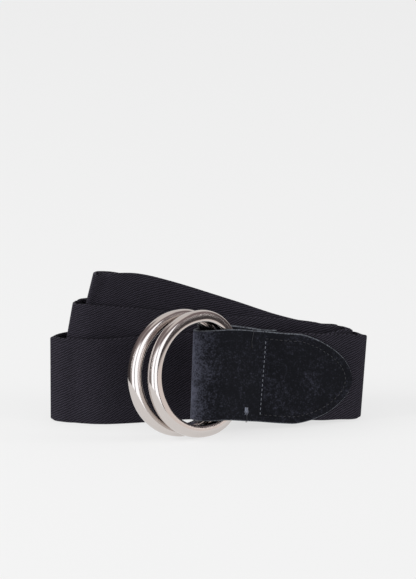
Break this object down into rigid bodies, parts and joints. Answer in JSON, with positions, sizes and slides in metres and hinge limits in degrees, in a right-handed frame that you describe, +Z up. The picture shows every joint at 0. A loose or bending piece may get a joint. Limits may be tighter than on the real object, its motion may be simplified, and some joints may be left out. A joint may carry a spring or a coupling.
{
  "type": "double ring belt",
  "caption": "Rolled webbing belt with two metal rings held in a pointed suede end tab, standing on its edge.",
  "frame": {"origin": "centre of the belt's footprint, on the surface that it stands on", "axes": "+X along the roll towards the pointed tab, +Y away from the front, where the rings are, and +Z up"},
  "size_m": [0.1274, 0.0628, 0.0612],
  "materials": {
    "webbing": "matt twill weave, charcoal black",
    "suede": "matt nap, black",
    "ring": "polished nickel"
  },
  "bodies": {
    "root": {"webbing_strap": "webbing", "ring_tab": "suede", "ring_front": "ring", "ring_rear": "ring"}
  },
  "joints": []
}
